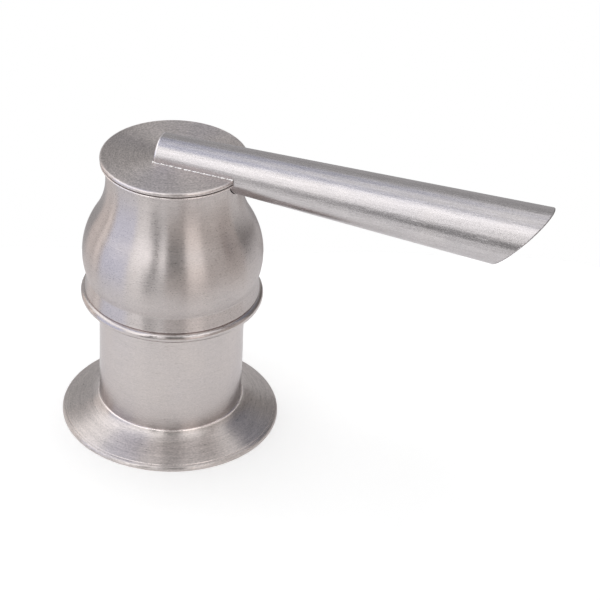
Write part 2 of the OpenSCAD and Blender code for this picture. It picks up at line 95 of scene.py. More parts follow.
# Spout: a round taper along a drooping axis, cut slanting at its mouth
SPOUT_Z = HEAD_TOP + 0.2 * MM
SPOUT_REACH = 91.4 * MM
SPOUT_ROOT_R = 4.95 * MM
SPOUT_TIP_R = 8.15 * MM
SPOUT_TAIL = 3.6 * MM
SPOUT_WALL = 0.9 * MM
SPOUT_TILT = np.radians(1.75)
MOUTH_ANGLE = np.radians(38.9)
SPOUT_EDGE = 0.42 * MM
MOUTH_EDGE = 0.28 * MM
BED_GAP = 0.16 * MM
SPOUT_GROWTH = (SPOUT_TIP_R - SPOUT_ROOT_R) / SPOUT_REACH

# Solder seam along the spout's bed: its radius wanders by a sum of sines of these waves
SEAM_SHORT = 0.4 * MM
SEAM_R = 0.2 * MM
SEAM_WANDER = 0.065 * MM
SEAM_WAVES = (2.9, 5.3, 8.7)

# Sleeve and flange
SLEEVE_LOW, SLEEVE_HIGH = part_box("sleeve")
SLEEVE_R = SLEEVE_HIGH[1]
SLEEVE_WALL = 1.3 * MM
SLEEVE_FLOOR = 2.5 * MM
FINE_EDGE = 0.15 * MM
FLANGE_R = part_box("flange")[1][1]
FLANGE_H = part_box("flange")[1][2]
FLANGE_EDGE = 1.3 * MM
FLANGE_ROUND = 0.9 * MM
FLANGE_STEP = 0.12 * MM
STEP_EDGE = 0.1 * MM
FLANGE_LIP = 0.4 * MM
FLANGE_FLAT = 0.79
FLANGE_RISE = 8
FLANGE_BORE = SLEEVE_R - 0.03 * MM
GASKET_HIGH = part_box("deck_gasket")[1]
GASKET_INNER = 19.6 * MM

# Shank, washers, bottle and spring
SHANK_LOW, SHANK_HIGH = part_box("shank")
SHANK_R = 13.5 * MM
SHANK_BORE = 11.2 * MM
SHANK_HOLE = 13.7 * MM
SHANK_ROUNDS = 120
SHANK_END_EDGE = 0.8 * MM
SIDE_SLACK = 0.01 * MM
COLLAR_T = 3 * MM
COLLAR_ROOT = 0.2 * MM
COLLAR_EDGE = 0.3 * MM
THREAD_PITCH = 2 * MM
THREAD_DEPTH = 0.6 * MM
THREAD_END = 0.5 * MM
THREAD_SHARPNESS = 1.5
THREAD_STEPS = 10
BOTTLE_LOW, BOTTLE_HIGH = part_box("bottle")
BOTTLE_R = BOTTLE_HIGH[1]
BOTTLE_SHOULDER = BOTTLE_HIGH[2] - 16 * MM
BOTTLE_NECK_R = 15.9 * MM
BOTTLE_WALL = 1.4 * MM
BOTTLE_EDGE = 6 * MM
BOTTLE_PUNT = 2 * MM
BOTTLE_GAP = 2.5 * MM
BOTTLE_ROUNDS = 160
NECK_RING_R = 17.6 * MM
NECK_RING_T = 2 * MM
NECK_RING_RISE = 2.5 * MM
NECK_RING_EDGE = 0.6 * MM
NECK_EDGE = 0.4 * MM
SPRING_LOW, SPRING_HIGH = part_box("return_spring")
SPRING_R = 5.4 * MM
SPRING_WIRE = 1 * MM
SPRING_TURNS = 8
SPRING_STEPS = 32

# Meshes: steps round a turned piece, the widest gap along an outline, the guard beside its rounded corners,
# and what counts as a pole, as a polished edge with a painted highlight and as a sharp cut
ROUNDS = 256
OUTLINE_GAP = 1.5 * MM
OUTLINE_GUARD = 0.12 * MM
POLE_GAP = 1e-9
POLISH_AND_HIGHLIGHT_RADIUS = 0.8 * MM
SHARP_CUT = np.radians(35)


def camera_axes():
    """Right, up and forward of the camera with its yaw, pitch and roll, and its place, turned so that the
    spout lies along +X."""
    level = np.cos(CAMERA_PITCH)
    forward = np.array([np.sin(CAMERA_YAW) * level, np.cos(CAMERA_YAW) * level, -np.sin(CAMERA_PITCH)])
    side = np.array([np.cos(CAMERA_YAW), -np.sin(CAMERA_YAW), 0])
    top = np.cross(side, forward)
    right = np.cos(CAMERA_ROLL) * side + np.sin(CAMERA_ROLL) * top
    up = np.cos(CAMERA_ROLL) * top - np.sin(CAMERA_ROLL) * side
    place = np.array([0, -CAMERA_REACH, CAMERA_HEIGHT])
    return [turn_to_spout(v) for v in (right, up, forward, place)]


def turn_to_spout(v):
    """Turns points from the camera's own heading about Z by the spout's turn, into the part's frame."""
    c, s = np.cos(SPOUT_TURN), np.sin(SPOUT_TURN)
    return np.asarray(v) @ np.array([[c, s, 0], [-s, c, 0], [0, 0, 1]])


def make_camera():
    """Camera with the picture's lens, looking along the fitted axes."""
    right, up, forward, place = camera_axes()
    data = bpy.data.cameras.new("camera")
    data.sensor_fit = "HORIZONTAL"
    data.sensor_width = SENSOR_WIDTH
    data.lens = FOCAL_PIXELS / IMAGE_SIDE * SENSOR_WIDTH
    data.clip_start = CAMERA_CLIP
    camera = bpy.data.objects.new("camera", data)
    bpy.context.scene.collection.objects.link(camera)
    columns = np.eye(4)
    columns[:3, :4] = np.stack([right, up, -forward, place], axis=1)
    camera.matrix_world = Matrix(columns.tolist())
    bpy.context.scene.camera = camera


def arc(centre, radius, start, stop, steps=24):
    """Points on a circle about centre from angle start to angle stop, in degrees."""
    a = np.radians(np.linspace(start, stop, steps + 1))
    return np.asarray(centre) + radius * np.stack([np.cos(a), np.sin(a)], axis=1)


def rounded(corners, radii, steps=5):
    """Closed outline whose corners are replaced by arcs that touch both sides; a radius of 0 keeps one."""
    corners = np.asarray(corners, dtype=float)
    pieces = []
    for before, here, after, radius in zip(np.roll(corners, 1, 0), corners, np.roll(corners, -1, 0), radii):
        if radius == 0:
            pieces.append(here[None])
            continue
        back = (before - here) / np.linalg.norm(before - here)
        ahead = (after - here) / np.linalg.norm(after - here)
        half = np.arccos(np.clip(back @ ahead, -1, 1)) / 2
        middle = (back + ahead) / np.linalg.norm(back + ahead)
        centre = here + middle * radius / np.sin(half)
        first = here + back * radius / np.tan(half) - centre
        last = here + ahead * radius / np.tan(half) - centre
        turn = np.arctan2(first[0] * last[1] - first[1] * last[0], first @ last)
        a = np.arctan2(first[1], first[0]) + turn * np.linspace(0, 1, steps + 1)
        pieces.append(centre + radius * np.stack([np.cos(a), np.sin(a)], axis=1))
    return np.vstack(pieces)


def spaced(outline, gap=OUTLINE_GAP):
    """Outline with more points on its long sides: evenly at most gap apart, and one point a guard's length
    from each end, so that the shading of a rounded corner stays at the corner."""
    ahead = np.roll(outline, -1, axis=0)
    pieces = []
    for start, stop in zip(outline, ahead):
        length = np.linalg.norm(stop - start)
        parts = np.linspace(0, 1, int(np.ceil(length / gap)) + 1)[:-1]
        if length > 4 * OUTLINE_GUARD:
            guard = OUTLINE_GUARD / length
            parts = np.sort(np.append(parts, [guard, 1 - guard]))
        pieces.append(start + parts[:, None] * (stop - start))
    return np.vstack(pieces)


def skin(name, points, loop, polish):
    """Closed skin over a grid of points. The first index runs round and wraps. The second runs along the
    outline and wraps too if loop is set; otherwise its two ends are poles, closed as fans. The map named
    grain holds the share of the round and the length along the outline in metres, and the other map the
    weight of each outline point: polished edges, which also get a painted highlight."""
    rounds, steps = points.shape[:2]
    index = np.arange(rounds * steps).reshape(rounds, steps)
    poles = np.ptp(points, axis=0).max(axis=1) < POLE_GAP
    index[:, poles] = index[0, poles]
    count = steps if loop else steps - 1
    here, ahead = np.arange(count), (np.arange(count) + 1) % steps
    across = np.roll(index, -1, axis=0)
    quads = np.stack([index[:, here], across[:, here], across[:, ahead], index[:, ahead]], -1).reshape(-1, 4)
    path = np.linalg.norm(np.diff(points, axis=1, append=points[:, :1]), axis=2).mean(axis=0)
    length = np.concatenate([[0], np.cumsum(path)])
    share = np.arange(rounds + 1) / rounds
    u0, v0 = np.meshgrid(share[:-1], length[:count], indexing="ij")
    u1, v1 = np.meshgrid(share[1:], length[1:count + 1], indexing="ij")
    w0, w1 = np.broadcast_arrays(polish[here], u0)[0], np.broadcast_arrays(polish[ahead], u0)[0]
    maps = {
        "grain": np.stack([u0, v0, u1, v0, u1, v1, u0, v1], -1).reshape(-1, 4, 2),
        "polish": np.stack([w0, w0, w0, w0, w1, w1, w1, w1], -1).reshape(-1, 4, 2),
    }
    fan_low = quads[:, 0] == quads[:, 1]
    fan_high = quads[:, 2] == quads[:, 3]
    whole = ~(fan_low | fan_high)
    groups = ((whole, [0, 1, 2, 3]), (fan_low, [0, 2, 3]), (fan_high, [0, 1, 2]))
    used, renumbered = np.unique(quads, return_inverse=True)
    renumbered = renumbered.reshape(quads.shape)
    faces = [face for chosen, corners in groups for face in renumbered[chosen][:, corners].tolist()]
    mesh = bpy.data.meshes.new(name)
    mesh.from_pydata(points.reshape(-1, 3)[used].tolist(), [], faces)
    for label, values in maps.items():
        flat = np.concatenate([values[chosen][:, corners].ravel() for chosen, corners in groups])
        mesh.uv_layers.new(name=label).data.foreach_set("uv", flat)
    mesh.polygons.foreach_set("use_smooth", np.ones(len(faces), dtype=bool))
    mesh.update()
    piece = bpy.data.objects.new(name, mesh)
    bpy.context.scene.collection.objects.link(piece)
    return piece


def turned_points(outline, rounds=ROUNDS):
    """Grid of an outline of radius and height carried round the Z axis."""
    a = np.linspace(0, 2 * np.pi, rounds, endpoint=False)[:, None]
    radius, height = outline[None, :, 0], outline[None, :, 1]
    return np.stack([radius * np.cos(a), radius * np.sin(a), height + 0 * a], axis=-1)


def edge_polish_and_highlight(outline):
    """Weight of an outline's points: 1 where it bends outwards in less than a small radius, and 0 on flat
    parts. It marks polished edges, whose colour also gets a painted highlight."""
    into = outline - np.roll(outline, 1, axis=0)
    out = np.roll(outline, -1, axis=0) - outline
    bend = np.arctan2(into[:, 0] * out[:, 1] - into[:, 1] * out[:, 0], (into * out).sum(axis=1))
    reach = (np.linalg.norm(into, axis=1) + np.linalg.norm(out, axis=1)) / 2
    return np.clip(POLISH_AND_HIGHLIGHT_RADIUS * bend / reach - 1, 0, 1)


def turned(name, outline, rounds=ROUNDS):
    """Piece turned about Z: an outline that starts on the axis is closed by poles, another one is a ring."""
    loop = outline[0, 0] > POLE_GAP
    return skin(name, turned_points(outline, rounds), loop, edge_polish_and_highlight(outline))


def ring_outline(inner, outer, low, high, edge):
    """Square section of a ring with rounded edges."""
    return rounded([[inner, low], [outer, low], [outer, high], [inner, high]], [edge] * 4)


def swept(name, path, radius, sides=10):
    """Round rod along a path: at each point a circle square to the path, upright about Z, with its own
    radius; both ends close to a point."""
    run = np.gradient(path, axis=0)
    run /= np.linalg.norm(run, axis=1)[:, None]
    side = np.cross(run, [0, 0, 1])
    side /= np.linalg.norm(side, axis=1)[:, None]
    top = np.cross(side, run)
    a = np.linspace(0, 2 * np.pi, sides, endpoint=False)[:, None, None]
    body = path + radius[:, None] * (np.cos(a) * side + np.sin(a) * top)
    start = np.repeat(path[None, :1], sides, axis=0)
    stop = np.repeat(path[None, -1:], sides, axis=0)
    points = np.concatenate([start, body, stop], axis=1)[::-1]
    return skin(name, points, loop=False, polish=np.zeros(points.shape[1]))


def spout_frame():
    """Start, direction, sideways and upward axes of the spout."""
    along = np.array([np.cos(SPOUT_TILT), 0, -np.sin(SPOUT_TILT)])
    sideways = np.array([0.0, 1.0, 0.0])
    upward = np.cross(along, sideways)
    return np.array([0, 0, SPOUT_Z]), along, sideways, upward


def on_spout(distance, radius, angle):
    """Points at a distance along the spout's axis and a radius from it, at an angle from sideways to up."""
    start, along, sideways, upward = spout_frame()
    distance, radius, angle = np.broadcast_arrays(distance, radius, angle)
    out = np.cos(angle)[..., None] * sideways + np.sin(angle)[..., None] * upward
    return start + distance[..., None] * along + radius[..., None] * out


def spout_radius(distance, inset=0):
    """Radius of the taper at a distance along its axis, less the inset."""
    return SPOUT_ROOT_R + SPOUT_GROWTH * distance - inset


def mouth_distance(angle, inset):
    """Distance along the axis at which the taper, less the inset, meets the mouth's slanted plane."""
    slant = np.tan(MOUTH_ANGLE)
    rise = np.sin(angle)
    reach = SPOUT_REACH - (SPOUT_TIP_R - (SPOUT_ROOT_R - inset) * rise) * slant
    return reach / (1 - SPOUT_GROWTH * rise * slant)


def spout_rows(angle, inset, shares, start):
    """Distances and radii of the taper at shares of the way from start to the slanted mouth."""
    distance = start + shares * (mouth_distance(angle, inset) - start)
    return distance, spout_radius(distance, inset)


def make_spout():
    """Tapered tube with a closed square inner end and a slanted open mouth. At each angle the outline runs
    from the end's centre over a rounded edge, out along the taper, over the mouth's rim, and back inside."""
    angle = np.linspace(0, 2 * np.pi, ROUNDS, endpoint=False)[:, None]
    tail_r = spout_radius(-SPOUT_TAIL)
    bend = np.linspace(0, np.pi / 2, 6)[None, :]
    end_r = np.linspace(0, 1, 6)[None, :] * (tail_r - 2 * SPOUT_EDGE)
    rows = [(np.full_like(end_r, -SPOUT_TAIL), end_r)]
    rows.append((-SPOUT_TAIL + SPOUT_EDGE * (1 - np.cos(bend)), tail_r - SPOUT_EDGE * (1 - np.sin(bend))))
    # Rows crowd at both ends of the taper, so that the shading of its rounded edges stays there
    shares = np.concatenate([[0.002], np.linspace(0.01, 0.995, 90), [0.998]])[None, :]
    rows.append(spout_rows(angle, 0, shares, -SPOUT_TAIL + SPOUT_EDGE))
    rim = np.linspace(0, np.pi, 9)[None, :]
    half = SPOUT_WALL / 2
    rim_inset = half * (1 - np.cos(rim))
    rim_back = MOUTH_EDGE * (1 - np.sin(rim) ** 0.5)
    rim_out = mouth_distance(angle, rim_inset) - rim_back
    rows.append((rim_out, spout_radius(rim_out, rim_inset)))
    floor = -SPOUT_TAIL + SPOUT_WALL
    inside = np.concatenate([[0.998], np.linspace(0.99, 0.01, 40), [0]])[None, :]
    rows.append(spout_rows(angle, SPOUT_WALL, inside, floor))
    rows.append((np.array([[floor]]), np.array([[0.0]])))
    distance = np.concatenate([np.broadcast_to(d, (ROUNDS, d.shape[1])) for d, r in rows], axis=1)
    radius = np.concatenate([np.broadcast_to(r, (ROUNDS, r.shape[1])) for d, r in rows], axis=1)
    # The rounded inner edge and the mouth's rim are polished and get a painted highlight
    edges = (1, 3)
    bright = np.concatenate([np.full(d.shape[1], 1.0 * (k in edges)) for k, (d, r) in enumerate(rows)])
    return skin("spout", on_spout(distance, radius, angle), loop=False, polish=bright)


def spout_cutter():
    """Solid taper, a bed's clearance larger than the spout, that reaches past the head."""
    ends = np.array([-SPOUT_TAIL - BED_GAP, 2 * DISC_R])
    distance = np.array([[ends[0], ends[0], ends[1], ends[1]]])
    radius = np.array([[0, 1, 1, 0]]) * (spout_radius(distance) + BED_GAP)
    angle = np.linspace(0, 2 * np.pi, ROUNDS, endpoint=False)[:, None]
    return skin("spout_cutter", on_spout(distance, radius, angle), loop=False, polish=np.zeros(4))


def notch_for_spout(*pieces):
    """Cuts the spout's bed out of each piece, and keeps the edges of the cut sharp."""
    cutter = spout_cutter()
    for piece in pieces:
        cut = piece.modifiers.new("bed", "BOOLEAN")
        cut.operation = "DIFFERENCE"
        cut.solver = "EXACT"
        cut.object = cutter
        seen = piece.evaluated_get(bpy.context.evaluated_depsgraph_get())
        mesh = bpy.data.meshes.new_from_object(seen)
        piece.modifiers.clear()
        piece.data = mesh
        mesh.set_sharp_from_angle(angle=SHARP_CUT)
    bpy.data.objects.remove(cutter)


def head_curves(inset, top):
    """Side of the head from its skirt's end up to height top: a straight flare, then a hollow waist, a round
    belly and a hollow neck, as three arcs that meet smoothly, moved inwards by the inset."""
    belly_x = BELLY_R - BELLY_ARC
    neck_x, waist_x = NECK_R + NECK_ARC, WAIST_R + WAIST_ARC
    belly_z = NECK_Z - np.sqrt((BELLY_ARC + NECK_ARC) ** 2 - (neck_x - belly_x) ** 2)
    waist_z = belly_z - np.sqrt((BELLY_ARC + WAIST_ARC) ** 2 - (waist_x - belly_x) ** 2)
    neck_turn = np.degrees(np.arctan2(NECK_Z - belly_z, neck_x - belly_x))
    waist_turn = np.degrees(np.arctan2(waist_z - belly_z, waist_x - belly_x))
    flare = np.radians(SKIRT_FLARE)
    skirt_r = waist_x - (WAIST_ARC + inset) / np.cos(flare) + SKIRT_H * np.tan(flare)
    lift = np.degrees(np.arcsin((top - NECK_Z) / (NECK_ARC + inset)))
    return np.vstack([
        [[skirt_r, waist_z - SKIRT_H]],
        arc([waist_x, waist_z], WAIST_ARC + inset, 180 + SKIRT_FLARE, 180 + waist_turn, steps=12),
        arc([belly_x, belly_z], BELLY_ARC - inset, waist_turn, neck_turn, steps=48)[1:],
        arc([neck_x, NECK_Z], NECK_ARC + inset, 180 + neck_turn, 180 - lift, steps=36)[1:],
    ])


def make_head_shell():
    """Thin turned shell: the side curves, a small cove, and the lip that carries the disc above a fine
    groove."""
    lip_z = DISC_Z - LIP_H
    outside = head_curves(0, lip_z - COVE_R)
    cove = arc([outside[-1, 0] + COVE_R, outside[-1, 1]], COVE_R, 180, 90, steps=8)[1:]
    groove_z, groove_r = DISC_Z - GROOVE_H, LIP_R - GROOVE_DEPTH
    lip = np.array([[LIP_R, lip_z], [LIP_R, groove_z], [groove_r, groove_z], [groove_r, DISC_Z]])
    inside = head_curves(SHELL_WALL, DISC_Z)[::-1]
    corners = np.vstack([outside, cove, lip, inside])
    radii = np.zeros(len(corners))
    first_lip = len(outside) + len(cove)
    radii[first_lip:first_lip + 2] = LIP_EDGE
    radii[0] = SKIRT_EDGE
    return turned("turned_head", spaced(rounded(corners, radii)))


def make_top_disc():
    """Flat disc with rounded edges."""
    corners = [[0, DISC_Z], [DISC_R, DISC_Z], [DISC_R, HEAD_TOP], [0, HEAD_TOP]]
    outline = rounded(corners, [0, DISC_UNDER_EDGE, DISC_EDGE, 0])
    half = len(outline) // 2
    lower, upper = outline[:half], outline[half:]
    shares = np.linspace(0, 1, 16)[1:-1, None]
    flat_low = outline[0] + shares * (outline[1] - outline[0])
    flat_high = outline[-2] + shares * (outline[-1] - outline[-2])
    filled = np.vstack([lower[:1], flat_low, lower[1:], upper[:-1], flat_high, upper[-1:]])
    return turned("closing_disc", filled)


def make_bead():
    """Half-round bead on the web that seats it."""
    centre = [BEAD_R - BEAD_T / 2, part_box("bead_ring")[1][2] - BEAD_T / 2]
    open_angle = 180 - np.degrees(np.arcsin(BEAD_WEB / BEAD_T))
    bow = arc(centre, BEAD_T / 2, -open_angle, open_angle, steps=40)
    web = np.array([[BEAD_INNER, centre[1] + BEAD_WEB / 2], [BEAD_INNER, centre[1] - BEAD_WEB / 2]])
    return turned("bead", np.vstack([bow, web]))


def make_sleeve():
    """Plain tube with a floor round the shank's hole."""
    low, high = SLEEVE_LOW[2], SLEEVE_HIGH[2]
    bore = SLEEVE_R - SLEEVE_WALL
    corners = [
        [SHANK_HOLE, low], [SLEEVE_R, low], [SLEEVE_R, high],
        [bore, high], [bore, low + SLEEVE_FLOOR], [SHANK_HOLE, low + SLEEVE_FLOOR],
    ]
    return turned("sleeve_tube", spaced(rounded(corners, [FINE_EDGE] * len(corners))))


def make_flange():
    """Ring with a rounded outer edge, a fine step, a slope, a rounded inner lip that closes on the sleeve, a
    ledge under the sleeve and a recess for the gasket. The slope's height is a straight share of the way in
    plus the rest times a high power of it, so that it turns up at the lip."""
    edge_c = np.array([FLANGE_R - FLANGE_ROUND, FLANGE_EDGE - FLANGE_ROUND])
    lip_c = np.array([FLANGE_BORE, FLANGE_H - FLANGE_LIP])
    ledge = SLEEVE_LOW[2]
    shares = np.linspace(0, 1, 40)[:, None]
    edge = arc(edge_c, FLANGE_ROUND, 0, 90, steps=8)
    outer, inner = edge[-1] + [0, FLANGE_STEP], lip_c + [FLANGE_LIP, 0]
    climb = FLANGE_FLAT * shares + (1 - FLANGE_FLAT) * shares ** FLANGE_RISE
    slope = outer + np.hstack([shares, climb]) * (inner - outer)
    recess_in, recess_out = GASKET_INNER - SEAT, GASKET_HIGH[1] + SEAT
    under = np.array([
        [SHANK_HOLE, 0], [recess_in, 0], [recess_in, GASKET_HIGH[2]], [recess_out, GASKET_HIGH[2]],
        [recess_out, 0], [FLANGE_R, 0],
    ])
    lip = arc(lip_c, FLANGE_LIP, 0, 90, steps=10)[1:]
    inside = np.array([[FLANGE_BORE, ledge], [SHANK_HOLE, ledge]])
    corners = np.vstack([under, edge, slope, lip, inside])
    radii = np.zeros(len(corners))
    radii[len(under) - 1] = FINE_EDGE
    radii[len(under) + len(edge)] = STEP_EDGE
    return turned("deck_flange", spaced(rounded(corners, radii)))


def thread_groove(angle, height, low, high):
    """Depth of a rounded helical groove: a raised cosine of height less a share of the turn, in pitches,
    which fades out over one pitch at both ends."""
    phase = 2 * np.pi * (height / THREAD_PITCH) - angle
    fade = np.clip((height - low) / THREAD_PITCH, 0, 1) * np.clip((high - height) / THREAD_PITCH, 0, 1)
    return THREAD_DEPTH * fade * (0.5 + 0.5 * np.cos(phase)) ** THREAD_SHARPNESS


def make_shank():
    """Tube with a collar on top and a thread cut into its outside below the deck's face."""
    low, high = SHANK_LOW[2], SHANK_HIGH[2]
    collar_r = SHANK_HIGH[1]
    corners = [
        [SHANK_BORE, low], [SHANK_R, low], [SHANK_R, high - COLLAR_T], [collar_r, high - COLLAR_T],
        [collar_r, high], [SHANK_BORE, high],
    ]
    radii = [0, SHANK_END_EDGE, COLLAR_ROOT, COLLAR_EDGE, COLLAR_EDGE, 0]
    outline = spaced(rounded(corners, radii), THREAD_PITCH / THREAD_STEPS)
    points = turned_points(outline, SHANK_ROUNDS)
    angle = np.linspace(0, 2 * np.pi, SHANK_ROUNDS, endpoint=False)[:, None]
    on_side = outline[:, 0] > SHANK_R - SIDE_SLACK
    groove = thread_groove(angle, outline[None, :, 1], low + THREAD_END, -THREAD_END) * on_side
    points[..., :2] *= (1 - groove / outline[None, :, 0])[..., None]
    return skin("threaded_shank", points, loop=True, polish=edge_polish_and_highlight(outline))


def make_bottle():
    """Blow-moulded bottle: raised base, rounded lower edge, straight side, quarter-round shoulder, neck with
    a ring, and the same line inside at the wall's thickness."""
    floor = BOTTLE_LOW[2]
    shoulder_arc = BOTTLE_R - BOTTLE_NECK_R
    edge_c = np.array([BOTTLE_R - BOTTLE_EDGE, floor + BOTTLE_EDGE])
    shoulder_c = np.array([BOTTLE_NECK_R, BOTTLE_SHOULDER - shoulder_arc])
    ring_low = BOTTLE_SHOULDER + NECK_RING_RISE
    ring_high = ring_low + NECK_RING_T
    top = BOTTLE_HIGH[2]
    neck = np.array([
        [BOTTLE_NECK_R, ring_low], [NECK_RING_R, ring_low], [NECK_RING_R, ring_high],
        [BOTTLE_NECK_R, ring_high], [BOTTLE_NECK_R, top], [SHANK_HOLE, top],
    ])
    outside = np.vstack([
        arc(edge_c, BOTTLE_EDGE, -90, 0, steps=12), arc(shoulder_c, shoulder_arc, 0, 90, steps=20),
    ])
    throat_turn = np.degrees(np.arccos((SHANK_HOLE - BOTTLE_NECK_R) / (shoulder_arc - BOTTLE_WALL)))
    inside = np.vstack([
        arc(shoulder_c, shoulder_arc - BOTTLE_WALL, min(throat_turn, 90), 0, steps=20),
        arc(edge_c, BOTTLE_EDGE - BOTTLE_WALL, 0, -90, steps=12),
    ])
    corners = np.vstack([
        [[0, floor + BOTTLE_PUNT]], outside, neck,
        [[SHANK_HOLE, BOTTLE_SHOULDER - BOTTLE_WALL]], inside, [[0, floor + BOTTLE_PUNT + BOTTLE_WALL]],
    ])
    radii = np.zeros(len(corners))
    start = 1 + len(outside)
    radii[start:start + len(neck)] = [NECK_RING_EDGE] * 3 + [NECK_EDGE] * 3
    outline = spaced(rounded(corners, radii), BOTTLE_GAP)
    # The outline ends where its inside meets the axis
    last = 1 + np.argmax(outline[1:, 0] <= POLE_GAP)
    return turned("soap_bottle", outline[:last + 1], BOTTLE_ROUNDS)


def make_spring():
    """Wire along a helix from the cylinder's floor to the piston: the angle grows evenly with the height,
    and the first and last half turns lie flat."""
    share = np.linspace(0, 1, SPRING_TURNS * SPRING_STEPS)
    low, high = SPRING_LOW[2] + SPRING_WIRE / 2, SPRING_HIGH[2] - SPRING_WIRE / 2
    flat = 0.5 / SPRING_TURNS
    climb = np.clip((share - flat) / (1 - 2 * flat), 0, 1)
    a = 2 * np.pi * SPRING_TURNS * share
    path = np.stack([SPRING_R * np.cos(a), SPRING_R * np.sin(a), low + (high - low) * climb], axis=1)
    return swept("coil_spring", path, np.full(len(share), SPRING_WIRE / 2))


def make_solder_seam():
    """Thin uneven fillet along the line where the spout lies in the disc: along one side, across the inner
    end and back along the other, with a radius that wanders as a sum of sines."""
    height = HEAD_TOP - SPOUT_Z
    edge = np.sqrt(DISC_R ** 2 - SPOUT_ROOT_R ** 2) - SEAM_SHORT
    side = np.linspace(edge, -SPOUT_TAIL, 150)
    half_width = np.sqrt(spout_radius(side) ** 2 - (height + side * np.tan(SPOUT_TILT)) ** 2)
    near = np.stack([side, -half_width, np.full_like(side, HEAD_TOP)], axis=1)
    across = np.linspace(-1, 1, 50)[1:-1] * half_width[-1]
    end = np.stack([np.full_like(across, -SPOUT_TAIL), across, np.full_like(across, HEAD_TOP)], axis=1)
    path = np.vstack([near, end, (near * [1, -1, 1])[::-1]])
    length = np.concatenate([[0], np.cumsum(np.linalg.norm(np.diff(path, axis=0), axis=1))]) / MM
    wander = sum(np.sin(wave * length + phase) for phase, wave in enumerate(SEAM_WAVES))
    return swept("solder_seam", path, SEAM_R + SEAM_WANDER * wander, sides=8)


def new_material(name):
    """Material with a Principled shader, and its shader."""
    material = bpy.data.materials.new(name)
    material.use_nodes = True
    return material, material.node_tree.nodes["Principled BSDF"]


def add(material, kind, links=None, **values):
    """Adds a node; values set its sockets or its own settings, links joins sockets to earlier outputs."""
    node = material.node_tree.nodes.new(kind)
    for key, value in values.items():
        if key in node.inputs:
            node.inputs[key].default_value = value
        else:
            setattr(node, key, value)
    for key, output in (links or {}).items():
        material.node_tree.links.new(output, node.inputs[key])
    return node


def join(material, output, socket):
    """Links an output to a socket."""
    material.node_tree.links.new(output, socket)


def object_place(material):
    """Object coordinates."""
    return add(material, "ShaderNodeTexCoord").outputs["Object"]


def map_value(material, label, axis):
    """One coordinate of the map with a label."""
    place = add(material, "ShaderNodeUVMap", uv_map=label).outputs["UV"]
    return add(material, "ShaderNodeSeparateXYZ", {0: place}).outputs[axis]


def times(material, output, factor):
    """Output multiplied by a number."""
    node = add(material, "ShaderNodeMath", {0: output}, operation="MULTIPLY")
    node.inputs[1].default_value = factor
    return node.outputs[0]


def towards(material, factor, base, colour):
    """Base moved towards a fixed colour by a factor."""
    node = add(material, "ShaderNodeMix", {0: factor, 6: base}, data_type="RGBA")
    node.inputs[7].default_value = (*colour, 1)
    return node.outputs[2]


def ramp(material, factor, stops):
    """Colour ramp with stops of position and grey or colour."""
    node = add(material, "ShaderNodeValToRGB", {"Fac": factor})
    elements = node.color_ramp.elements
    while len(elements) < len(stops):
        elements.new(0.5)
    for element, (position, colour) in zip(elements, stops):
        element.position = position
        element.color = (*np.broadcast_to(colour, 3), 1)
    return node.outputs["Color"]


def grain_vector(material, along, across):
    """Place on a brushed surface: Object coordinates times along, so that the grain is long one way, plus
    the length on the map named grain times across, so that it is fine the other way."""
    fine = times(material, map_value(material, "grain", "Y"), across)
    step = add(material, "ShaderNodeCombineXYZ", {"Z": fine})
    wide = add(material, "ShaderNodeVectorMath", {0: object_place(material)}, operation="SCALE")
    wide.inputs["Scale"].default_value = along
    return add(material, "ShaderNodeVectorMath", {0: wide.outputs[0], 1: step.outputs[0]}).outputs[0]


def drawn_vector(material, along, across):
    """Place on a surface drawn along X: Object coordinates times along on X and times across on Y and Z."""
    scale = (along, across, across)
    place = object_place(material)
    return add(material, "ShaderNodeMapping", {"Vector": place}, Scale=scale).outputs["Vector"]


def noise(material, vector, scale=1.0, detail=2.0):
    """Noise factor at a vector."""
    return add(material, "ShaderNodeTexNoise", {"Vector": vector}, Scale=scale, Detail=detail).outputs["Fac"]


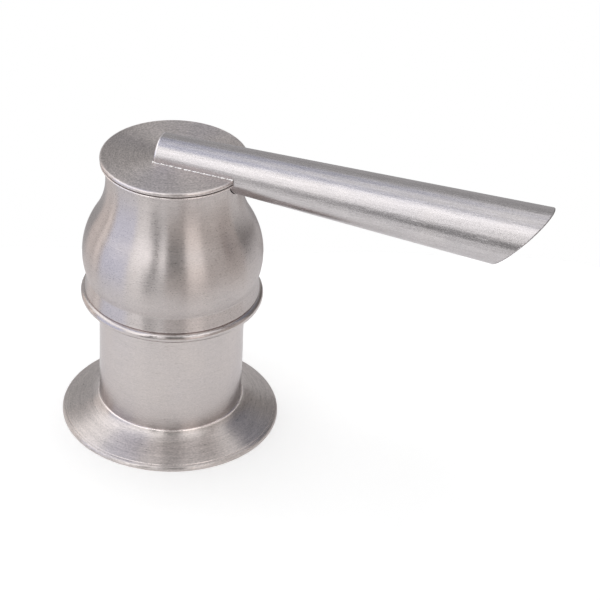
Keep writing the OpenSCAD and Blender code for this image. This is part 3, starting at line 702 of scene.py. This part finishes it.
def brushed_nickel(name, rough, stretch, grit, lines, streaks=0.22, grain=grain_vector, relief=0.4,
                   gain=(1, 1, 1)):
    """Satin metal brushed along its grain: short gritty dashes and longer streaks along the grain, soft
    blotches and thin stray scratches change its colour, roughness and bump. Grit is their share of the
    colour, lines their number per metre, streaks the streaks' share, relief the bump's strength and gain
    the tint's; the gloss is stretched across the round. Polished outward edges are smoother, and their
    colour is raised as a painted highlight."""
    material, shader = new_material(name)
    tint = np.array(NICKEL_TINT) * gain
    dash = noise(material, grain(material, 0.6 * lines, lines), detail=2)
    coarse = noise(material, grain(material, STREAK_ALONG, 0.8 * lines), detail=2)
    blotch = noise(material, object_place(material), scale=lines / 40, detail=3)
    stray = noise(material, grain(material, SCRATCH_ALONG, 1.1 * lines), detail=1)
    scratch = ramp(material, stray, SCRATCH_STOPS)
    streak = add(material, "ShaderNodeMix", {2: dash, 3: coarse}, data_type="FLOAT",
                 Factor=streaks).outputs[0]
    colour = ramp(material, streak, [(NOISE_LOW, tint * (1 - grit)), (NOISE_HIGH, tint * (1 + grit))])
    clouds = ramp(material, blotch, [(CLOUD_LOW, tint * CLOUD_DARK), (CLOUD_HIGH, tint * CLOUD_LIGHT)])
    cloudy = add(material, "ShaderNodeMix", {6: colour, 7: clouds}, data_type="RGBA",
                 Factor=CLOUD_SHARE).outputs[2]
    scored = towards(material, scratch, cloudy, tint * (1 + grit))
    # Polished outward edges, patchy along them: smoother, and with a painted highlight in their colour
    polish = map_value(material, "polish", "X")
    rubbed_and_highlight = add(material, "ShaderNodeMath", {0: polish, 1: ramp(material, blotch, RUBBED_AND_HIGHLIGHT_STOPS)},
                 operation="MULTIPLY").outputs[0]
    # Painted highlight: the colour of polished edges is raised to a brighter tint
    edge_highlighted = towards(material, rubbed_and_highlight, scored, tint * EDGE_HIGHLIGHT_GAIN)
    join(material, edge_highlighted, shader.inputs["Base Color"])
    grey = ramp(material, streak, [(NOISE_LOW, rough - NICKEL_SPREAD), (NOISE_HIGH, rough + NICKEL_SPREAD)])
    lined = add(material, "ShaderNodeMix", {6: grey, 7: scratch}, data_type="RGBA", blend_type="ADD",
                Factor=SCRATCH_ROUGH).outputs[2]
    smoothed = towards(material, rubbed_and_highlight, lined, [POLISH_ROUGH] * 3)
    join(material, smoothed, shader.inputs["Roughness"])
    height = add(material, "ShaderNodeMath", {0: streak, 1: scratch}, operation="ADD").outputs[0]
    bump = add(material, "ShaderNodeBump", {"Height": height}, Strength=relief, Distance=NICKEL_BUMP)
    join(material, bump.outputs["Normal"], shader.inputs["Normal"])
    tangent = add(material, "ShaderNodeTangent", direction_type="UV_MAP", uv_map="grain")
    join(material, tangent.outputs["Tangent"], shader.inputs["Tangent"])
    shader.inputs["Metallic"].default_value = 1
    shader.inputs["Specular Tint"].default_value = (*EDGE_TINT, 1)
    shader.inputs["Anisotropic"].default_value = stretch
    shader.inputs["Anisotropic Rotation"].default_value = QUARTER_TURN
    return material


def moulded(name, tint, rough, fleck, grain, bumpiness):
    """Moulded plastic or rubber: a fine noise moves its colour by fleck, its roughness and its bump."""
    material, shader = new_material(name)
    tint = np.array(tint)
    place = object_place(material)
    fine = noise(material, place, scale=grain, detail=4)
    wide = noise(material, place, scale=grain / 30, detail=2)
    both = add(material, "ShaderNodeMix", {2: fine, 3: wide}, data_type="FLOAT", Factor=0.5).outputs[0]
    colour = ramp(material, both, [(NOISE_LOW, tint * (1 - fleck)), (NOISE_HIGH, tint * (1 + fleck))])
    join(material, colour, shader.inputs["Base Color"])
    grey = ramp(material, fine, [(NOISE_LOW, rough - MOULD_SPREAD), (NOISE_HIGH, rough + MOULD_SPREAD)])
    join(material, grey, shader.inputs["Roughness"])
    bump = add(material, "ShaderNodeBump", {"Height": both}, Strength=bumpiness, Distance=MOULD_BUMP)
    join(material, bump.outputs["Normal"], shader.inputs["Normal"])
    return material


def bright_metal(name, tint, rough, grain):
    """Plain rolled or drawn metal with a faint grain in colour, roughness and bump."""
    material = moulded(name, tint, rough, fleck=0.06, grain=grain, bumpiness=0.1)
    material.node_tree.nodes["Principled BSDF"].inputs["Metallic"].default_value = 1
    return material


def milky_plastic(name, tint):
    """Cloudy bottle plastic: moulded, with light scattered below the surface."""
    material = moulded(name, tint, rough=0.38, fleck=0.03, grain=900, bumpiness=0.12)
    shader = material.node_tree.nodes["Principled BSDF"]
    shader.inputs["Subsurface Weight"].default_value = 0.6
    shader.inputs["Subsurface Radius"].default_value = [MILKY_DEPTH] * 3
    shader.inputs["Subsurface Scale"].default_value = 1
    return material


def dress(piece, material, body, slot, *nodes):
    """Gives a piece its material and body, and hides the nodes that it stands for; slot is not used."""
    piece.data.materials.clear()
    piece.data.materials.append(material)
    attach(piece, body)
    if nodes:
        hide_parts(*nodes)


def paint_nodes(material, *names):
    """Gives carried-over nodes a material."""
    for name in names:
        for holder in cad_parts[name].material_slots:
            holder.material = material


def look_from(azimuth, elevation):
    """Direction at an azimuth from the camera's heading, positive to the picture's right, and an
    elevation."""
    azimuth, elevation = np.radians(azimuth), np.radians(elevation)
    level = np.cos(elevation)
    across, ahead = np.sin(azimuth) * level, -np.cos(azimuth) * level
    out = np.stack(np.broadcast_arrays(across, ahead, np.sin(elevation)), -1)
    return turn_to_spout(out)


def stage_mesh(name, points, material):
    """Open sheet over a grid of points, with a material."""
    rows, columns = points.shape[:2]
    index = np.arange(rows * columns).reshape(rows, columns)
    quads = np.stack([index[:-1, :-1], index[1:, :-1], index[1:, 1:], index[:-1, 1:]], -1).reshape(-1, 4)
    mesh = bpy.data.meshes.new(name)
    mesh.from_pydata(points.reshape(-1, 3).tolist(), [], quads.tolist())
    mesh.materials.append(material)
    sheet = bpy.data.objects.new(name, mesh)
    bpy.context.scene.collection.objects.link(sheet)
    return sheet


def make_card(name, azimuths, elevations, level, tint, distance=1.2):
    """Studio card, a patch of a sphere about the object, that only shows in the metal's gloss."""
    material = bpy.data.materials.new(name)
    material.use_nodes = True
    material.node_tree.nodes.clear()
    glow = add(material, "ShaderNodeEmission", Color=(*tint, 1), Strength=level)
    end = add(material, "ShaderNodeOutputMaterial")
    join(material, glow.outputs[0], end.inputs["Surface"])
    azimuth = np.linspace(*azimuths, CARD_STEPS)[:, None]
    elevation = np.linspace(*elevations, CARD_STEPS)[None, :]
    card = stage_mesh(name, distance * look_from(azimuth, elevation), material)
    card.visible_camera = False
    card.visible_diffuse = False
    card.visible_shadow = False
    card.visible_transmission = False


def make_lamp(name, azimuth, elevation, distance, width, height, radiance, tint):
    """Soft box at an azimuth and elevation that faces the object; its power gives it the radiance."""
    data = bpy.data.lights.new(name, "AREA")
    data.shape = "RECTANGLE"
    data.size = width
    data.size_y = height
    data.energy = radiance * width * height * np.pi
    data.color = tint
    lamp = bpy.data.objects.new(name, data)
    lamp.visible_glossy = False
    bpy.context.scene.collection.objects.link(lamp)
    back = look_from(azimuth, elevation)
    side = np.cross([0, 0, 1], back)
    side /= np.linalg.norm(side)
    columns = np.eye(4)
    columns[:3, :4] = np.stack([side, np.cross(back, side), back, distance * back], axis=1)
    lamp.matrix_world = Matrix(columns.tolist())


def make_counter():
    """Pale counter sample that the dispenser clamps: a slab with a rounded edge and the shank's hole, square
    to the camera. Its outline is a superellipse of the slab's half sides."""
    material, shader = new_material("pale_counter")
    speck = noise(material, object_place(material), scale=400, detail=3)
    pale = ramp(material, speck, [(NOISE_LOW, COUNTER_DARK), (NOISE_HIGH, COUNTER_LIGHT)])
    join(material, pale, shader.inputs["Base Color"])
    shader.inputs["Roughness"].default_value = 0.8
    shader.inputs["Specular IOR Level"].default_value = 0.1
    path = add(material, "ShaderNodeLightPath")
    mirrored = times(material, path.outputs["Is Glossy Ray"], COUNTER_MIRRORED)
    glow = add(material, "ShaderNodeMath", {0: path.outputs["Is Camera Ray"], 2: mirrored},
               operation="MULTIPLY_ADD")
    glow.inputs[1].default_value = COUNTER_GLOW
    shader.inputs["Emission Color"].default_value = (1, 1, 1, 1)
    join(material, glow.outputs[0], shader.inputs["Emission Strength"])
    a = np.linspace(0, 2 * np.pi, COUNTER_STEPS)[:, None]
    power = 2 / COUNTER_SQUARENESS
    across = np.sign(np.cos(a)) * np.abs(np.cos(a)) ** power
    deep = np.sign(np.sin(a)) * np.abs(np.sin(a)) ** power
    bend = np.linspace(0, np.pi / 2, 7)
    inward = COUNTER_EDGE * (1 - np.sin(bend))
    upward = COUNTER_EDGE * (1 - np.cos(bend))
    inset = np.concatenate([inward, inward[::-1]])[None]
    height = np.concatenate([upward - COUNTER_T, -upward[::-1]])[None]
    rim = np.stack([
        COUNTER_MIDDLE[0] + across * (COUNTER_HALF[0] - inset),
        COUNTER_MIDDLE[1] + deep * (COUNTER_HALF[1] - inset), height + 0 * a], axis=-1)
    hole_r = SHANK_HOLE + COUNTER_GAP
    hole = np.stack([hole_r * np.cos(a), hole_r * np.sin(a), 0 * a], axis=-1)
    floor = hole - [0, 0, COUNTER_T]
    shares = np.linspace(0, 1, 12)[None, 1:-1, None]
    under = floor + shares * (rim[:, :1] - floor)
    over = rim[:, -1:] + shares * (hole - rim[:, -1:])
    points = np.concatenate([floor, under, rim, over, hole, floor], axis=1)
    stage_mesh("counter_sample", turn_to_spout(points), material)


def make_world():
    """White surroundings for the camera, gloss and clear plastic, and a softer grey for plain light."""
    world = bpy.data.worlds.new("studio")
    bpy.context.scene.world = world
    world.use_nodes = True
    nodes, links = world.node_tree.nodes, world.node_tree.links
    nodes.clear()
    path = nodes.new("ShaderNodeLightPath")
    seen = nodes.new("ShaderNodeMath")
    seen.operation = "MAXIMUM"
    links.new(path.outputs["Is Camera Ray"], seen.inputs[0])
    links.new(path.outputs["Is Glossy Ray"], seen.inputs[1])
    clear = nodes.new("ShaderNodeMath")
    clear.operation = "MAXIMUM"
    links.new(seen.outputs[0], clear.inputs[0])
    links.new(path.outputs["Is Transmission Ray"], clear.inputs[1])
    soft, white = nodes.new("ShaderNodeBackground"), nodes.new("ShaderNodeBackground")
    soft.inputs["Color"].default_value = (AMBIENT, AMBIENT, AMBIENT, 1)
    white.inputs["Color"].default_value = (1, 1, 1, 1)
    mix = nodes.new("ShaderNodeMixShader")
    links.new(clear.outputs[0], mix.inputs[0])
    links.new(soft.outputs[0], mix.inputs[1])
    links.new(white.outputs[0], mix.inputs[2])
    end = nodes.new("ShaderNodeOutputWorld")
    links.new(mix.outputs[0], end.inputs["Surface"])


# Stage: the counter sample, with its half sides and middle in the camera's heading, its greys and its glow to
# the camera and in mirrors, and the level of plain light
COUNTER_T = 20 * MM
COUNTER_EDGE = 2.5 * MM
COUNTER_GAP = 0.3 * MM
COUNTER_HALF = (101 * MM, 82 * MM)
COUNTER_MIDDLE = (27 * MM, -6 * MM)
COUNTER_STEPS = 181
COUNTER_SQUARENESS = 9
COUNTER_DARK, COUNTER_LIGHT = 0.8, 0.84
COUNTER_GLOW = 0.33
COUNTER_MIRRORED = 0.31
AMBIENT = 0.56

# Studio cards that the metal mirrors: name, span of azimuth from the camera's heading, span of elevation,
# level and tint, and the distance of those that stand farther off
CARD_STEPS = 24
WINDOW_AWAY = 4
PLAIN, COOL, WARM = (1, 1, 1), (0.95, 1.0, 1.2), (1.08, 1.0, 0.95)
CARDS = (
    ("window_low", (-56, -29), (8, 26), 1.65, PLAIN, WINDOW_AWAY),
    ("window_card", (-54, -29), (26, 44), 1.9, PLAIN, WINDOW_AWAY),
    ("window_top", (-46, -16), (44, 66), 1.95, PLAIN),
    ("window_bar", (-29, -19), (8, 44), 0.12, PLAIN, WINDOW_AWAY),
    ("window_side", (-19, -9), (8, 44), 1.45, PLAIN, WINDOW_AWAY),
    ("window_sill", (-25, -9), (-22, 8), 0.6, PLAIN),
    ("left_glow", (-136, -56), (26, 40), 1.4, PLAIN),
    ("left_shelf", (-146, -56), (40, 56), 1.7, PLAIN),
    ("left_high", (-120, -46), (56, 74), 0.8, COOL),
    ("left_zenith", (-90, 0), (74, 90), 1.1, PLAIN),
    ("back_zenith", (-180, -90), (74, 90), 1.15, PLAIN),
    ("left_wall", (-98, -58), (-22, 26), 0.92, COOL),
    ("left_dark", (-105, -98), (-22, 26), 0.68, WARM),
    ("left_strip", (-111, -105), (-22, 26), 1.2, WARM),
    ("left_edge", (-119, -111), (-22, 26), 0.7, WARM),
    ("left_corner", (-136, -119), (-22, 26), 0.9, WARM),
    ("back_low", (152, 224), (-22, 22), 0.58, PLAIN),
    ("back_wall", (152, 224), (22, 40), 0.5, PLAIN),
    ("back_shelf", (152, 214), (40, 56), 0.5, PLAIN),
    ("back_high", (176, 240), (56, 74), 0.6, COOL),
    ("right_glow", (110, 168), (58, 76), 1.3, PLAIN),
    ("dark_corner", (100, 152), (-5, 30), 0.2, WARM),
    ("dark_high", (100, 152), (30, 54), 0.26, COOL),
    ("right_wall", (41, 100), (2, 36), 0.52, WARM),
    ("right_low", (36, 100), (-22, 2), 0.6, WARM),
    ("right_high", (18, 56), (44, 60), 2.0, PLAIN),
    ("right_window", (18, 41), (2, 26), 1.25, WARM),
    ("right_sill", (18, 36), (-22, 2), 0.8, WARM),
    ("front_dark", (-9, 18), (10, 52), 0.2, PLAIN),
    ("front_top", (-10, 60), (60, 74), 0.6, PLAIN),
    ("front_low", (-36, -25), (-19, -5), 0.08, PLAIN),
    ("front_side", (-36, -25), (-5, 8), 0.35, PLAIN),
    ("front_sill", (-9, 18), (-22, 10), 0.55, WARM),
    ("right_floor", (10, 180), (-60, -22), 0.45, WARM),
    ("left_floor", (-180, 10), (-60, -22), 0.9, PLAIN),
    ("right_zenith", (0, 180), (76, 90), 1.15, PLAIN),
)

make_camera()

# Finishes: tints, the range of noise that a ramp spans, spreads of roughness, shares, and heights of bumps
NICKEL_TINT = (0.55, 0.508, 0.497)
EDGE_TINT = (0.8, 0.79, 0.8)
CLOUD_DARK = (0.93, 0.93, 0.96)
CLOUD_LIGHT = (1.05, 1.03, 1.01)
CLOUD_LOW, CLOUD_HIGH = 0.35, 0.65
CLOUD_SHARE = 0.25
# Painted highlight: gain of the colour on polished edges; their lower roughness is real
EDGE_HIGHLIGHT_GAIN = 1.5
POLISH_ROUGH = 0.24
RUBBED_AND_HIGHLIGHT_STOPS = ((0.3, 0.5), (0.6, 1))
SCRATCH_STOPS = ((0.68, 0), (0.8, 0.6))
SCRATCH_ROUGH = 0.06
SCRATCH_ALONG = 200
STREAK_ALONG = 150
NOISE_LOW, NOISE_HIGH = 0.3, 0.7
NICKEL_SPREAD = 0.04
MOULD_SPREAD = 0.07
NICKEL_BUMP = 0.06 * MM
MOULD_BUMP = 0.05 * MM
MILKY_DEPTH = 4 * MM
QUARTER_TURN = 0.25
head_nickel = brushed_nickel("head_nickel", rough=0.3, stretch=0.95, grit=0.24, lines=3600, relief=0.3)
bead_nickel = brushed_nickel("bead_nickel", rough=0.2, stretch=0.6, grit=0.15, lines=3100)
disc_nickel = brushed_nickel("disc_nickel", rough=0.36, stretch=0.9, grit=0.5, lines=3200)
spout_nickel = brushed_nickel("spout_nickel", rough=0.25, stretch=0.3, grit=0.26, lines=3600, streaks=0.45,
                              grain=drawn_vector, gain=(0.97, 1, 1.03))
sleeve_nickel = brushed_nickel("sleeve_nickel", rough=0.2, stretch=0.75, grit=0.2, lines=3600)
flange_nickel = brushed_nickel("flange_nickel", rough=0.31, stretch=0.94, grit=0.38, lines=3000, streaks=0.4,
                               gain=(1.06, 1.06, 1.05))
solder = bright_metal("solder", (0.85, 0.83, 0.82), rough=0.22, grain=6000)
black_plastic = moulded("black_plastic", (0.028, 0.028, 0.03), rough=0.42, fleck=0.2, grain=1500,
                        bumpiness=0.15)
natural_plastic = moulded("natural_plastic", (0.76, 0.75, 0.71), rough=0.45, fleck=0.03, grain=1200,
                          bumpiness=0.1)
grey_plastic = moulded("grey_plastic", (0.09, 0.09, 0.1), rough=0.45, fleck=0.12, grain=1500, bumpiness=0.12)
black_rubber = moulded("black_rubber", (0.022, 0.022, 0.024), rough=0.72, fleck=0.25, grain=2600,
                       bumpiness=0.3)
bright_steel = bright_metal("bright_steel", (0.62, 0.62, 0.63), rough=0.28, grain=2200)
bottle_plastic = milky_plastic("bottle_plastic", (0.84, 0.84, 0.81))

# Head
head, disc = make_head_shell(), make_top_disc()
notch_for_spout(head, disc)
dress(head, head_nickel, "head", "satin_nickel", "head_shell")
dress(disc, disc_nickel, "head", "satin_nickel", "top_disc")
dress(make_bead(), bead_nickel, "head", "satin_nickel", "bead_ring")
dress(make_spout(), spout_nickel, "head", "satin_nickel", "spout_tube")
dress(make_solder_seam(), solder, "head", "satin_nickel")

# Base
dress(make_sleeve(), sleeve_nickel, "base", "satin_nickel", "sleeve")
dress(make_flange(), flange_nickel, "base", "satin_nickel", "flange")
dress(make_shank(), black_plastic, "base", "black_plastic", "shank")
dress(make_bottle(), bottle_plastic, "base", "bottle_plastic", "bottle")
for name, node, material, slot, inner, edge in (
        ("gasket_ring", "deck_gasket", black_rubber, "black_rubber", GASKET_INNER, 0.2 * MM),
        ("rubber_pad", "rubber_washer", black_rubber, "black_rubber", SHANK_HOLE, 0.5 * MM),
        ("steel_plate", "steel_washer", bright_steel, "bright_steel", SHANK_HOLE, 0.2 * MM)):
    low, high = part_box(node)
    outline = spaced(ring_outline(inner, high[1], low[2], high[2], edge))
    dress(turned(name, outline), material, "base", slot, node)
spring = make_spring()
dress(spring, bright_steel, "base", "bright_steel", "return_spring")
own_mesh(spring)

# Carried-over nodes
paint_nodes(black_plastic, "mounting_nut", "nozzle")
paint_nodes(grey_plastic, "guide_bush", "piston")
paint_nodes(natural_plastic, "elbow", "delivery_tube", "stem_socket", "pump_stem", "pump_cap",
            "pump_cylinder", "dip_tube")
paint_nodes(black_rubber, "stem_seal", "cap_seal")
paint_nodes(bright_steel, "outlet_ball", "inlet_ball")

# Stage and light
make_counter()
make_world()
make_lamp("window", azimuth=-51, elevation=32, distance=1.1, width=0.5, height=0.9, radiance=0.6,
          tint=(0.97, 0.98, 1.0))
make_lamp("overhead", azimuth=180, elevation=80, distance=1.1, width=0.9, height=0.9, radiance=2.0,
          tint=(1.0, 1.0, 1.0))
for card in CARDS:
    make_card(*card)

bpy.context.scene.view_settings.view_transform = "Standard"
